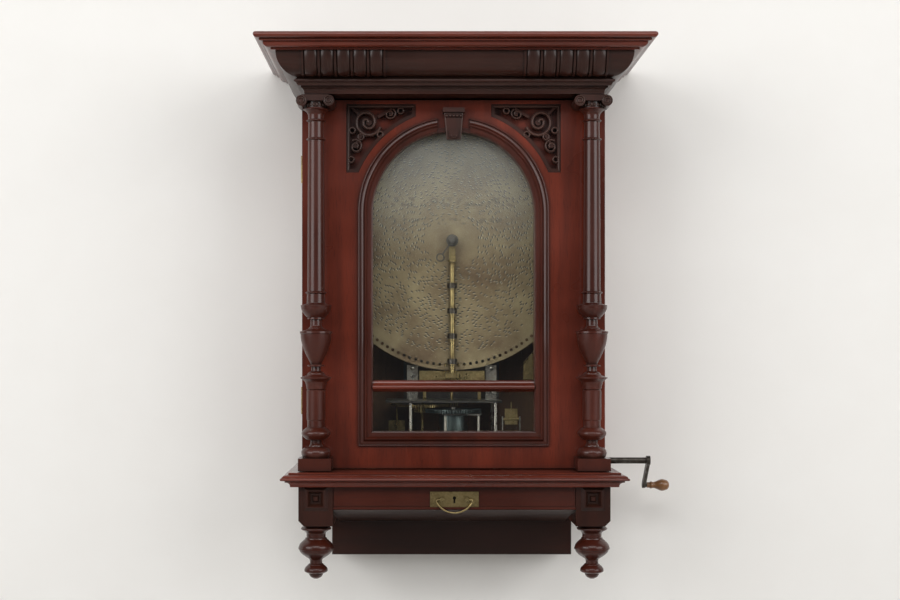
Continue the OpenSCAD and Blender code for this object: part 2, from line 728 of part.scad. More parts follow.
bar_mid = 154.5;
module glazing_bar() color(wood) {
    hollow = [for (t = [0 : 15 : 90]) [-5 + 7.5 * (1 - cos(t)), 10.5 - 9 * sin(t)]];
    nose = [for (t = [60 : -20 : -60]) [1.5 + 2.8 * cos(t), -2 + 3.6 * sin(t)]];
    behind = door_back - 9.7 - door_face;
    translate([-window_r, door_face, bar_mid]) rotate([90, 0, 90]) linear_extrude(2 * window_r)
        mirror([1, 0]) polygon(concat([[-behind, 10.5]], hollow, nose, [[-6, -10.5],
        [-behind, -10.5]]));
}

keystone_low = window_z + window_r - 17;
module keystone() color(wood) {
    z = keystone_low;
    upright([door_face - 18, door_face]) polygon([[-13.3, z], [13.3, z], [17.5, z + 50],
        [-17.5, z + 50]]);
    block([-20, 20], [door_face - 22, door_face], [z + 50, z + 58]);
    upright([door_face - 21, door_face - 18]) polygon([[-8, z + 5], [8, z + 5], [9.5, z + 17],
        [-9.5, z + 17]]);
    for (k = [-2 : 2]) translate([k * 6.5, door_face - 19, z + 43]) sphere(r = 3);
}

// Spandrels: pierced scroll panels let into the door's corners above the arch
sp_x = [70, 199];
sp_z = [window_z + 74, case_h - 9];
sp_r = frame_r + 14;
module both_sides_2d() {
    children();
    mirror([1, 0]) children();
}
module spandrel_shape(shrink) {
    difference() {
        translate([sp_x[0] + shrink, sp_z[0] + shrink])
            square([sp_x[1] - sp_x[0] - 2 * shrink, sp_z[1] - sp_z[0] - 2 * shrink]);
        translate([0, window_z]) circle(r = sp_r + shrink);
    }
}
module scroll(c, r, w, turn) {
    // A spiral of half rings, each smaller than the one before
    translate(c) rotate(turn) for (k = [0 : 3]) if (r * (1 - 0.24 * k) > w + 0.5) {
        rk = r * (1 - 0.24 * k);
        translate([k % 2 == 0 ? 0 : -0.24 * r, 0]) rotate(k % 2 == 0 ? 0 : 180) intersection() {
            difference() {
                circle(r = rk);
                circle(r = rk - w);
            }
            translate([-rk - 1, 0]) square([2 * rk + 2, rk + 1]);
        }
    }
    translate(c) circle(r = w * 0.9);
}
module spandrel_carving() {
    difference() {
        spandrel_shape(0.4);
        spandrel_shape(7);
    }
    intersection() {
        spandrel_shape(0.4);
        union() {
            scroll([157, sp_z[1] - 34.4], 26, 6, 200);
            scroll([182, sp_z[1] - 77.5], 13, 4, 60);
            scroll([117, sp_z[1] - 17], 11, 3.5, 120);
            for (a = [[98, sp_z[1] - 12, 7], [136, sp_z[1] - 56, 7], [188, sp_z[1] - 49, 7],
                [190, sp_z[1] - 103, 7], [172, sp_z[1] - 61, 7]])
                translate([a[0], a[1]]) difference() {
                    circle(r = a[2]);
                    circle(r = a[2] - 3.4);
                }
            translate([157, sp_z[1] - 34.4]) rotate(-58) translate([20, -3]) square([34, 5]);
            translate([157, sp_z[1] - 34.4]) rotate(150) translate([20, -3]) square([30, 5]);
            translate([157, sp_z[1] - 34.4]) rotate(42) translate([20, -3]) square([30, 5]);
        }
    }
}
module spandrels() color(dark_wood)
    upright([door_face + 1, door_face + 9]) both_sides_2d() spandrel_carving();

module plinths() color(wood) both_sides()
    block([post_x - plinth_w / 2 + 1, half_w + 3], [porch_face, door_face], [1.5, plinth_top]);

// Column heights: the vase work is fixed, and the plain shaft takes up any change of case height
shaft_top = case_h - 80;
column_stations = [[24, 24, 0], [33.5, 27, 2], [42, 23, 3], [44.6, 13, 0], [50, 10.2, 3],
    [56, 10.2, 0], [58.6, 19, 2], [69, 26.5, 2], [79, 18, 3], [80, 16, 0], [92, 16, 0],
    [94.5, 17.2, 0], [147, 17.2, 0], [149, 15.8, 0], [151, 17.6, 2], [161, 19.6, 3],
    [169, 27.6, 3], [170, 28.4, 2], [171.5, 28.4, 0], [178, 15.6, 2], [183, 9, 3],
    [190.5, 8.6, 0], [191.5, 15.6, 0], [194, 15.6, 0], [195, 10.4, 0], [196, 9.8, 0],
    [251, 28.4, 2], [252, 29.6, 0], [255.5, 29.6, 0], [262, 14, 2], [267, 10.4, 2], [277, 10.2, 0],
    [278, 15.4, 0], [281, 15.4, 0], [282, 17.5, 0], [300, 27.6, 2], [303, 28.2, 0],
    [304.5, 24, 3], [308, 17.2, 2],
    [324, 16.5, 0], [326.5, 19.5, 2], [329, 16, 3], [shaft_top - 2, 14.8, 0],
    [shaft_top + 0.5, 18, 2], [shaft_top + 3, 14.4, 3], [shaft_top + 32, 14.1, 0],
    [shaft_top + 34.5, 17.6, 2], [shaft_top + 37, 14.1, 3], [shaft_top + 44, 14.6, 0],
    [shaft_top + 53, 20.5, 3], [shaft_top + 55, 23.5, 2], [shaft_top + 57, 22, 3]];
module columns() color(wood) both_sides() translate([post_x, post_y, 0]) turned(column_stations);

module capitals() color(wood) both_sides() translate([post_x, post_y, 0]) {
    z = shaft_top + 68;
    r = 10;
    x = 24.8;
    difference() {
        union() {
            for (s = [-1, 1]) rod_y(s * x, [-27, 27], z, r);
            block([-x, x], [-26, 26], [z, z + 8.5]);
            block([-x, x], [-26, 31], [z + 8, z + 11]);
            rod_z(0, 0, [shaft_top + 57, z + 1], 21);
        }
        for (s = [-1, 1]) {
            rod_y(s * x, [-28, -25.5], z, 7.5);
            rod_y(s * x, [25.5, 28], z, 7.5);
        }
    }
    for (s = [-1, 1]) {
        rod_y(s * x, [-27.5, -25.4], z, 3);
        rod_y(s * x, [25.4, 27.5], z, 3);
    }
}

// Drawer
module drawer_box() color(wood) difference() {
    block([-drawer_half, drawer_half], [porch_face + front_t, drawer_back],
        [drawer_low + 1.5, block_top - 4]);
    block([-drawer_half + drawer_t, drawer_half - drawer_t],
        [porch_face + front_t + drawer_t, drawer_back - drawer_t], [drawer_low + 5.5, 0]);
}
module drawer_front() color(wood) {
    difference() {
        block([-drawer_front_half, drawer_front_half], [porch_face, porch_face + front_t],
            [drawer_low, block_top - slide_gap]);
        block([-4, 4], [porch_face - 1, porch_face + 8], [pull_z - 9, pull_z + 6]);
    }
    block([-drawer_front_half, drawer_front_half], [porch_face - 3, porch_face],
        [drawer_low, drawer_low + 4]);
}
module pull_plate() color(brass) {
    difference() {
        block([-44, 44], [porch_face - 1.5, porch_face], [pull_z - 14, pull_z + 14]);
        rod_y(0, [porch_face - 2, porch_face + 1], pull_z + 2.5, 3);
        block([-1.6, 1.6], [porch_face - 2, porch_face + 1], [pull_z - 7, pull_z + 2.5]);
    }
    for (s = [-1, 1]) {
        difference() {
            union() {
                rod_y(s * post_gap, [bail_y - 3, porch_face - 1.5], pull_z, 3);
                rod_y(s * post_gap, [bail_y - 5, bail_y - 3], pull_z, 4);
            }
            rod_x([s * post_gap - 6, s * post_gap + 6], bail_y, pull_z, wire_r + run_gap);
        }
        for (dz = [-9.5, 9.5])
            rod_y(s * 38.5, [porch_face - 2.8, porch_face - 1.5], pull_z + dz, 2.5);
    }
}
// The wire hangs in one wide curve, runs straight a little and turns in to each post
bail_half = 31;
bail_curve = 37.2;
bail_bend = 3.5;
bail_link = 2;
lap = 0.4;
straight_r = wire_r - 0.06;
module bail_handle() color(brass) translate([0, bail_y, pull_z]) {
    half_angle = asin(bail_half / bail_curve);
    inner = bail_curve - bail_bend;
    bend_x = inner * sin(half_angle) + bail_link * cos(half_angle);
    rise = inner * cos(half_angle) - bail_link * sin(half_angle) - bail_bend;
    translate([0, 0, rise]) rotate([90, 0, 0]) rotate([0, 0, -90 - half_angle])
        rotate_extrude(angle = 2 * half_angle) translate([bail_curve, 0]) circle(r = wire_r);
    both_sides() {
        translate([0, 0, rise]) rotate([0, -half_angle, 0]) rod_x([-lap, bail_link + lap], 0, -bail_curve,
            straight_r);
        translate([bend_x, 0, -bail_bend]) rotate([90, 0, 0]) rotate([0, 0, half_angle - 90])
            rotate_extrude(angle = 180 - half_angle) translate([bail_bend, 0]) circle(r = wire_r);
        rod_x([post_gap - 5, bend_x + lap], 0, 0, straight_r);
    }
}

// Disc and train
module tune_disc() color(disc_metal) difference() {
    rod_y(0, [works_y - disc_t / 2, works_y + disc_t / 2], disc_z, disc_r);
    rod_y(0, [works_y - 1, works_y + 1], disc_z, 3 + run_gap);
    for (k = [0 : drive_holes - 1]) translate([0, works_y, disc_z])
        rotate([0, 360 * k / drive_holes, 0]) rod_y(0, [-1, 1], -hole_circle_r, 3);
}
module drive_sprocket() color(brass) translate([0, sprocket_y, 0]) {
    rod_z(0, 0, [sprocket_z - 3, sprocket_z + 3], sprocket_r - 4);
    rod_z(0, 0, [wheel_z - 0.5, sprocket_z + 3], 3);
    for (k = [0 : sprocket_pins - 1]) rotate([0, 0, 270 + 360 * k / sprocket_pins])
        translate([sprocket_r - 5, 0, sprocket_z]) rotate([0, 90, 0]) cylinder(h = 7.5, r = 1.3);
    translate([0, 0, wheel_z]) gear(sprocket_pinion, wheel_t + 1, 0,
        heading([0, sprocket_y], train_xy) + 180 / sprocket_pinion);
}
module train_wheel() color(brass) translate([train_xy[0], train_xy[1], 0]) {
    translate([0, 0, wheel_z]) gear(train_teeth, wheel_t, 0, heading(train_xy, [0, sprocket_y]));
    translate([0, 0, great_z - 1]) gear(train_pinion, wheel_z - great_z + 1.1, 0,
        heading(train_xy, [barrel_x, barrel_y]) + 180 / train_pinion);
    rod_z(0, 0, [plate_low_z, plate_z + plate_t], 2.5);
}
module spring_barrel() color(steel) translate([barrel_x, barrel_y, 0]) difference() {
    union() {
        rod_z(0, 0, [plate_low_z + plate_t + 2, great_z - 5], drum_r);
        rod_z(0, 0, [great_z - 6, great_z], 8);
        translate([0, 0, great_z]) gear(great_teeth, great_t, 0,
            heading([barrel_x, barrel_y], train_xy));
    }
    rod_z(0, 0, [0, great_z + great_t + 1], arbor_r + run_gap);
}
module governor_fan() color(brass) translate([fan_xy[0], fan_xy[1], 0]) {
    translate([0, 0, wheel_z]) gear(fan_pinion, wheel_t, 0,
        heading(fan_xy, train_xy) + 180 / fan_pinion);
    rod_z(0, 0, [plate_low_z, plate_z - 1], 1.5);
    block([-16, 16], [-0.6, 0.6], [50, 84]);
    block([-0.6, 0.6], [-16, 16], [50, 84]);
}

// Winding: a bevel pair takes the crank's turn up into the spring's arbor
arbor_r = 4.5;
crown_teeth = 24;
crank_pinion = 10;
crown_r = gear_m * crown_teeth / 2;
crown_gap_z = crank_z + gear_m * crank_pinion / 2 + 0.1;
module winding_arbor() color(steel) translate([barrel_x, barrel_y, 0]) {
    rod_z(0, 0, [crown_gap_z + 2, great_z + great_t + 3], arbor_r);
    rod_z(0, 0, [crown_gap_z + 2, plate_low_z - 0.3], crown_r + 3);
    for (k = [0 : crown_teeth - 1]) rotate([0, 0, 360 * (k + 0.5) / crown_teeth])
        block([crown_r - 3, crown_r + 3], [-0.75, 0.75], [crown_gap_z - 0.5, crown_gap_z + 2.1]);
}
crank_x = half_w + crank_reach;
arm_tilt = 42;
arm_w = 12;
grip_x = [crank_x + 3, crank_x + 46];
module winding_crank() color(iron) translate([0, barrel_y, crank_z]) {
    rod_x([barrel_x + crown_r - 3, crank_x], 0, 0, crank_r);
    translate([barrel_x + crown_r - 2.8, 0, 0]) rotate([0, 90, 0])
        gear(crank_pinion, 5.6, 0, 180);
    rotate([-arm_tilt, 0, 0]) {
        rod_x([crank_x - 7, crank_x], 0, 0, 9);
        block([crank_x - 6, crank_x], [0, crank_arm], [-arm_w / 2, arm_w / 2]);
        rod_x([crank_x - 6, crank_x], crank_arm, 0, arm_w / 2);
        rod_x([crank_x - 1, grip_x[1] - 6], crank_arm, 0, 3);
        rod_x([crank_x - 1, crank_x + 2], crank_arm, 0, 4.5);
    }
}
module crank_grip() color([0.45, 0.27, 0.13]) translate([0, barrel_y, crank_z])
    rotate([-arm_tilt, 0, 0]) translate([grip_x[0], crank_arm, 0]) rotate([0, 90, 0])
    difference() {
        turned([[0, 5.5, 0], [5, 5.5, 0], [8, 7, 2], [12, 6, 1], [30, 11.5, 1], [38, 9.5, 3],
            [43, 5, 3]]);
        translate([0, 0, -1]) cylinder(h = 39, r = 3 + run_gap);
    }

// Pressure bar: hinged below the disc and hooked over the spindle's end, with rollers along it
module pressure_bar() color(brass) {
    difference() {
        union() {
            rod_z(0, bar_y, [bar_low, knob_z - 38], bar_r);
            block([-8, 8], [bar_y - 5, bar_y + 5], [bar_low - 5, bar_low + 5]);
            rod_z(0, bar_y, [knob_z - 41, knob_z - 38], 9);
            block([-6, 6], [bar_y - 4.5, bar_y + 4.5], [knob_z - 38.1, knob_z - 8]);
            rod_y(0, [bar_y - 5, bar_y + 5], knob_z, 11);
        }
        rod_x([-9, 9], bar_y, bar_low, 2 + run_gap);
        rod_y(0, [bar_y - 1.5, bar_y + 6], knob_z, 3.8);
        rod_y(0, [bar_y - 6, bar_y], knob_z, 2.5 + run_gap);
    }
    for (z = roller_zs) for (dz = [-7.4, 5.4]) rod_z(0, bar_y, [z + dz, z + dz + 2], bar_r + 1.5);
}
module pressure_rollers() color(steel) for (z = roller_zs) difference() {
    rod_z(0, bar_y, [z - 5, z + 5], 9.5);
    rod_z(0, bar_y, [z - 6, z + 6], bar_r + run_gap);
}
module bar_latch() color(iron) {
    rod_y(0, [bar_y - 12, bar_y - 2], knob_z, 2.5);
    translate([0, bar_y - 15, knob_z]) sphere(r = 9);
    translate([0, bar_y - 7, knob_z]) rotate([0, 35, 0]) {
        rod_z(0, 0, [-34, -10], 1.2);
        translate([0, 0, -40]) rotate([90, 0, 0]) rotate_extrude() translate([7, 0]) circle(r = 1.2);
        rod_y(0, [-1.5, 1.5], 0, 11.5);
    }
}

case_side_left();
case_side_right();
back_board();
top_boards();
floor_board();
entablature();
frieze_moulding();
crown_moulding();
base_moulding();
base_sides();
corner_blocks();
finials();
soffit_panel();
tail_box();
wall_hangers();
hinge_case_leaves();
hinge_pins();
coin_slot_plate();
coin_chute();
crank_bush();
bedplate();
bedplate_posts();
comb_left();
comb_right();
comb_clamps();
star_gantry();
disc_spindle();
disc_rests();
ornament_plate();
motor_plates();
motor_pillars();
coin_bracket();
door_frame();
window_moulding();
door_glass();
glass_beads();
glazing_bar();
keystone();
spandrels();
plinths();
columns();
capitals();
hinge_door_leaves();
drawer_box();
drawer_front();
pull_plate();
bail_handle();
tune_disc();
drive_sprocket();
train_wheel();
spring_barrel();
governor_fan();
winding_arbor();
winding_crank();
crank_grip();
pressure_bar();
pressure_rollers();
bar_latch();
star_wheels();
coin_lever();
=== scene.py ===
"""Looks of the wall-hung disc music box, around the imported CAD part."""
import math
import random

import bmesh
import bpy
from mathutils import Matrix, Vector


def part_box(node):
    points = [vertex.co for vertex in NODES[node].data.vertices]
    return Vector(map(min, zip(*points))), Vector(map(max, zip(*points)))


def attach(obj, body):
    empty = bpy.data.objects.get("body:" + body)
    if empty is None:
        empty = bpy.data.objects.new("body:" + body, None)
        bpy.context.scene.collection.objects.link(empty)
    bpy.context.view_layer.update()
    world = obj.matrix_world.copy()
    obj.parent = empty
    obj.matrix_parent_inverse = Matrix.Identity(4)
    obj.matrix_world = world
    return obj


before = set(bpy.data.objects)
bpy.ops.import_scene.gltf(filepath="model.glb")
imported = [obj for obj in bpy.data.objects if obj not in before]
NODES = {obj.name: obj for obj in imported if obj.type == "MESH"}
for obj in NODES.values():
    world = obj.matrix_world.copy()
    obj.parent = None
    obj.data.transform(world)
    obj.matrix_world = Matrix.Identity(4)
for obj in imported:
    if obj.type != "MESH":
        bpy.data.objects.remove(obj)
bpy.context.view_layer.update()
random.seed(19)
MM = 0.001


# ---------------------------------------------------------------- shader node groups

def new_group(name, inputs, outputs):
    """An empty shader node group with these sockets: (name, type, default)."""
    group = bpy.data.node_groups.new(name, "ShaderNodeTree")
    for label, kind, value in inputs:
        socket = group.interface.new_socket(label, in_out="INPUT", socket_type=kind)
        if value is not None:
            socket.default_value = value
    for label, kind in outputs:
        group.interface.new_socket(label, in_out="OUTPUT", socket_type=kind)
    nodes = group.nodes
    return group, nodes, group.links, nodes.new("NodeGroupInput"), nodes.new("NodeGroupOutput")


def add(nodes, kind, **settings):
    node = nodes.new(kind)
    for key, value in settings.items():
        setattr(node, key, value)
    return node


def wood_figure_group():
    """Mahogany: broad ribbon, growth streaks and fine pores along the local Z of the mapped vector."""
    group, nodes, links, inp, out = new_group(
        "wood_figure",
        [("Vector", "NodeSocketVector", None), ("Light", "NodeSocketColor", (0.2, 0.05, 0.02, 1)),
         ("Dark", "NodeSocketColor", (0.05, 0.01, 0.01, 1)), ("Ribbon", "NodeSocketFloat", 0.5),
         ("Pores", "NodeSocketFloat", 0.5)],
        [("Color", "NodeSocketColor"), ("Height", "NodeSocketFloat"), ("Gloss", "NodeSocketFloat")])
    long_grain = add(nodes, "ShaderNodeVectorMath", operation="MULTIPLY")
    long_grain.inputs[1].default_value = (1.0, 1.0, 0.07)
    links.new(inp.outputs["Vector"], long_grain.inputs[0])
    ribbon = add(nodes, "ShaderNodeTexNoise")
    ribbon.inputs["Scale"].default_value = 26
    ribbon.inputs["Detail"].default_value = 5
    ribbon.inputs["Distortion"].default_value = 0.6
    links.new(long_grain.outputs[0], ribbon.inputs["Vector"])
    pore = add(nodes, "ShaderNodeTexNoise")
    pore.inputs["Scale"].default_value = 620
    pore.inputs["Detail"].default_value = 2
    links.new(long_grain.outputs[0], pore.inputs["Vector"])
    pore_mask = add(nodes, "ShaderNodeMapRange")
    pore_mask.inputs["From Min"].default_value = 0.56
    pore_mask.inputs["From Max"].default_value = 0.74
    links.new(pore.outputs["Fac"], pore_mask.inputs["Value"])
    cloud = add(nodes, "ShaderNodeTexNoise")
    cloud.inputs["Scale"].default_value = 5
    cloud.inputs["Detail"].default_value = 3
    links.new(inp.outputs["Vector"], cloud.inputs["Vector"])
    streak = add(nodes, "ShaderNodeMapRange")
    streak.inputs["From Min"].default_value = 0.32
    streak.inputs["From Max"].default_value = 0.68
    links.new(ribbon.outputs["Fac"], streak.inputs["Value"])
    share = add(nodes, "ShaderNodeMath", operation="MULTIPLY")
    links.new(streak.outputs[0], share.inputs[0])
    links.new(inp.outputs["Ribbon"], share.inputs[1])
    base = add(nodes, "ShaderNodeMix", data_type="RGBA")
    links.new(share.outputs[0], base.inputs["Factor"])
    links.new(inp.outputs["Light"], base.inputs["A"])
    links.new(inp.outputs["Dark"], base.inputs["B"])
    pored = add(nodes, "ShaderNodeMath", operation="MULTIPLY")
    links.new(pore_mask.outputs[0], pored.inputs[0])
    links.new(inp.outputs["Pores"], pored.inputs[1])
    with_pores = add(nodes, "ShaderNodeMix", data_type="RGBA")
    links.new(pored.outputs[0], with_pores.inputs["Factor"])
    links.new(base.outputs["Result"], with_pores.inputs["A"])
    links.new(inp.outputs["Dark"], with_pores.inputs["B"])
    shade = add(nodes, "ShaderNodeMapRange")
    shade.inputs["From Min"].default_value = 0.3
    shade.inputs["From Max"].default_value = 0.7
    shade.inputs["To Min"].default_value = 0.72
    shade.inputs["To Max"].default_value = 1.22
    links.new(cloud.outputs["Fac"], shade.inputs["Value"])
    tinted = add(nodes, "ShaderNodeVectorMath", operation="SCALE")
    links.new(with_pores.outputs["Result"], tinted.inputs[0])
    links.new(shade.outputs[0], tinted.inputs["Scale"])
    links.new(tinted.outputs[0], out.inputs["Color"])
    sunk = add(nodes, "ShaderNodeMath", operation="SUBTRACT")
    sunk.inputs[0].default_value = 1.0
    links.new(pored.outputs[0], sunk.inputs[1])
    links.new(sunk.outputs[0], out.inputs["Height"])
    links.new(cloud.outputs["Fac"], out.inputs["Gloss"])
    return group


def corner_shade_group():
    """Painted shade: a near-black tone mixed into the corners and recesses that ambient occlusion finds
    from the shape around; the broad faces keep their colour.
    """
    group, nodes, links, inp, out = new_group(
        "corner_shade",
        [("Color", "NodeSocketColor", (0.5, 0.5, 0.5, 1)),
         ("Shade_Color", "NodeSocketColor", (0.01, 0.006, 0.004, 1)),
         ("Reach", "NodeSocketFloat", 0.012), ("Amount", "NodeSocketFloat", 0.7)],
        [("Color", "NodeSocketColor")])
    # Ambient occlusion within the reach marks the corners and recesses that get the painted shade.
    corner = add(nodes, "ShaderNodeAmbientOcclusion", samples=6, only_local=False)
    links.new(inp.outputs["Reach"], corner.inputs["Distance"])
    open_part = add(nodes, "ShaderNodeMapRange")
    open_part.inputs["From Min"].default_value = 0.35
    open_part.inputs["From Max"].default_value = 0.95
    open_part.inputs["To Min"].default_value = 1.0
    open_part.inputs["To Max"].default_value = 0.0
    links.new(corner.outputs["AO"], open_part.inputs["Value"])
    mask = add(nodes, "ShaderNodeMath", operation="MULTIPLY")
    links.new(open_part.outputs[0], mask.inputs[0])
    links.new(inp.outputs["Amount"], mask.inputs[1])
    mix = add(nodes, "ShaderNodeMix", data_type="RGBA")
    links.new(mask.outputs[0], mix.inputs["Factor"])
    links.new(inp.outputs["Color"], mix.inputs["A"])
    links.new(inp.outputs["Shade_Color"], mix.inputs["B"])
    links.new(mix.outputs["Result"], out.inputs["Color"])
    return group


def patina_group():
    """Old metal: two tones in clouds with small spots, and roughness that follows them."""
    group, nodes, links, inp, out = new_group(
        "patina",
        [("Vector", "NodeSocketVector", None), ("Bright", "NodeSocketColor", (0.6, 0.5, 0.3, 1)),
         ("Dull", "NodeSocketColor", (0.2, 0.15, 0.08, 1)), ("Scale", "NodeSocketFloat", 60),
         ("Smooth", "NodeSocketFloat", 0.25), ("Rough", "NodeSocketFloat", 0.5)],
        [("Color", "NodeSocketColor"), ("Roughness", "NodeSocketFloat"), ("Height", "NodeSocketFloat")])
    cloud = add(nodes, "ShaderNodeTexNoise")
    cloud.inputs["Detail"].default_value = 6
    cloud.inputs["Roughness"].default_value = 0.62
    links.new(inp.outputs["Vector"], cloud.inputs["Vector"])
    links.new(inp.outputs["Scale"], cloud.inputs["Scale"])
    tone = add(nodes, "ShaderNodeMapRange")
    tone.inputs["From Min"].default_value = 0.36
    tone.inputs["From Max"].default_value = 0.66
    links.new(cloud.outputs["Fac"], tone.inputs["Value"])
    speck = add(nodes, "ShaderNodeTexVoronoi")
    links.new(inp.outputs["Vector"], speck.inputs["Vector"])
    speck.inputs["Scale"].default_value = 240
    spot = add(nodes, "ShaderNodeMapRange")
    spot.inputs["From Min"].default_value = 0.05
    spot.inputs["From Max"].default_value = 0.22
    spot.inputs["To Min"].default_value = 0.5
    spot.inputs["To Max"].default_value = 0.0
    links.new(speck.outputs["Distance"], spot.inputs["Value"])
    both = add(nodes, "ShaderNodeMath", operation="MAXIMUM")
    links.new(tone.outputs[0], both.inputs[0])
    links.new(spot.outputs[0], both.inputs[1])
    mix = add(nodes, "ShaderNodeMix", data_type="RGBA")
    links.new(both.outputs[0], mix.inputs["Factor"])
    links.new(inp.outputs["Bright"], mix.inputs["A"])
    links.new(inp.outputs["Dull"], mix.inputs["B"])
    links.new(mix.outputs["Result"], out.inputs["Color"])
    rough = add(nodes, "ShaderNodeMix", data_type="FLOAT")
    links.new(both.outputs[0], rough.inputs["Factor"])
    links.new(inp.outputs["Smooth"], rough.inputs["A"])
    links.new(inp.outputs["Rough"], rough.inputs["B"])
    links.new(rough.outputs["Result"], out.inputs["Roughness"])
    links.new(cloud.outputs["Fac"], out.inputs["Height"])
    return group


WOOD_FIGURE = wood_figure_group()
CORNER_SHADE = corner_shade_group()
PATINA = patina_group()


# ---------------------------------------------------------------- materials

def material(name):
    mat = bpy.data.materials.new(name)
    mat.use_nodes = True
    nodes = mat.node_tree.nodes
    return mat, nodes, mat.node_tree.links, nodes["Principled BSDF"]


def placed(nodes, group):
    node = nodes.new("ShaderNodeGroup")
    node.node_tree = group
    return node


def turned_coordinates(nodes, links, grain):
    """Object coordinates, turned so that the wood's long grain runs along X, Y or Z."""
    coord = nodes.new("ShaderNodeTexCoord")
    mapping = nodes.new("ShaderNodeMapping")
    turn = {"Z": (0, 0, 0), "X": (0, math.pi / 2, 0), "Y": (math.pi / 2, 0, 0)}[grain]
    mapping.inputs["Rotation"].default_value = turn
    links.new(coord.outputs["Object"], mapping.inputs["Vector"])
    return mapping.outputs[0]


def wood(name, light, dark, grain="Z", ribbon=0.7, pores=0.6, roughness=0.3, coat=0.55,
         coat_roughness=0.07, shade_amount=0.75, reach=0.012):
    mat, nodes, links, bsdf = material(name)
    vector = turned_coordinates(nodes, links, grain)
    figure = placed(nodes, WOOD_FIGURE)
    links.new(vector, figure.inputs["Vector"])
    figure.inputs["Light"].default_value = (*light, 1)
    figure.inputs["Dark"].default_value = (*dark, 1)
    figure.inputs["Ribbon"].default_value = ribbon
    figure.inputs["Pores"].default_value = pores
    # Painted shade darkens the corners and recesses of the wood.
    corner_shade = placed(nodes, CORNER_SHADE)
    links.new(figure.outputs["Color"], corner_shade.inputs["Color"])
    corner_shade.inputs["Amount"].default_value = shade_amount
    corner_shade.inputs["Reach"].default_value = reach
    links.new(corner_shade.outputs["Color"], bsdf.inputs["Base Color"])
    spread = add(nodes, "ShaderNodeMapRange")
    spread.inputs["From Min"].default_value = 0.3
    spread.inputs["From Max"].default_value = 0.7
    spread.inputs["To Min"].default_value = roughness * 0.8
    spread.inputs["To Max"].default_value = roughness * 1.3
    links.new(figure.outputs["Gloss"], spread.inputs["Value"])
    links.new(spread.outputs[0], bsdf.inputs["Roughness"])
    bump = nodes.new("ShaderNodeBump")
    bump.inputs["Strength"].default_value = 0.12
    bump.inputs["Distance"].default_value = 0.0003
    links.new(figure.outputs["Height"], bump.inputs["Height"])
    links.new(bump.outputs[0], bsdf.inputs["Normal"])
    bsdf.inputs["Specular IOR Level"].default_value = 0.3
    bsdf.inputs["Coat Weight"].default_value = coat
    bsdf.inputs["Coat Roughness"].default_value = coat_roughness
    return mat


def metal(name, bright, dull, scale=60, smooth=0.25, rough=0.5, bump_m=0.0001, shade_amount=0.5, metallic=1.0,
          reach=0.006):
    mat, nodes, links, bsdf = material(name)
    coord = nodes.new("ShaderNodeTexCoord")
    patina = placed(nodes, PATINA)
    links.new(coord.outputs["Object"], patina.inputs["Vector"])
    patina.inputs["Bright"].default_value = (*bright, 1)
    patina.inputs["Dull"].default_value = (*dull, 1)
    patina.inputs["Scale"].default_value = scale
    patina.inputs["Smooth"].default_value = smooth
    patina.inputs["Rough"].default_value = rough
    # Painted shade darkens the corners and recesses of the metal.
    corner_shade = placed(nodes, CORNER_SHADE)
    links.new(patina.outputs["Color"], corner_shade.inputs["Color"])
    corner_shade.inputs["Amount"].default_value = shade_amount
    corner_shade.inputs["Reach"].default_value = reach
    links.new(corner_shade.outputs["Color"], bsdf.inputs["Base Color"])
    links.new(patina.outputs["Roughness"], bsdf.inputs["Roughness"])
    bump = nodes.new("ShaderNodeBump")
    bump.inputs["Strength"].default_value = 0.3
    bump.inputs["Distance"].default_value = bump_m
    links.new(patina.outputs["Height"], bump.inputs["Height"])
    links.new(bump.outputs[0], bsdf.inputs["Normal"])
    bsdf.inputs["Metallic"].default_value = metallic
    return mat


def window_glass():
    """Old clear glass that lets the lamps through, with a pale film towards its arched head that is a
    painted reflection.
    """
    mat, nodes, links, bsdf = material("window_glass")
    bsdf.inputs["Base Color"].default_value = (0.95, 0.955, 0.93, 1)
    bsdf.inputs["Roughness"].default_value = 0.02
    bsdf.inputs["Transmission Weight"].default_value = 1.0
    bsdf.inputs["IOR"].default_value = 1.5
    clear = nodes.new("ShaderNodeBsdfTransparent")
    clear.inputs["Color"].default_value = (0.95, 0.955, 0.93, 1)
    path = nodes.new("ShaderNodeLightPath")
    mix = nodes.new("ShaderNodeMixShader")
    links.new(path.outputs["Is Shadow Ray"], mix.inputs[0])
    links.new(bsdf.outputs[0], mix.inputs[1])
    links.new(clear.outputs[0], mix.inputs[2])
    coord = nodes.new("ShaderNodeTexCoord")
    height = nodes.new("ShaderNodeSeparateXYZ")
    links.new(coord.outputs["Object"], height.inputs[0])
    # Painted reflection: a pale diffuse film that grows towards the arched head of the glass.
    reflection_fade = add(nodes, "ShaderNodeMapRange", interpolation_type="SMOOTHSTEP")
    for socket, value in (("From Min", 0.36), ("From Max", 0.60), ("To Min", 0.0), ("To Max", 0.075)):
        reflection_fade.inputs[socket].default_value = value
    links.new(height.outputs["Z"], reflection_fade.inputs["Value"])
    haze_reflection = nodes.new("ShaderNodeBsdfDiffuse")
    haze_reflection.inputs["Color"].default_value = (0.86, 0.87, 0.80, 1)
    with_reflection = nodes.new("ShaderNodeMixShader")
    links.new(reflection_fade.outputs[0], with_reflection.inputs[0])
    links.new(mix.outputs[0], with_reflection.inputs[1])
    links.new(haze_reflection.outputs[0], with_reflection.inputs[2])
    links.new(with_reflection.outputs[0], nodes["Material Output"].inputs["Surface"])
    return mat


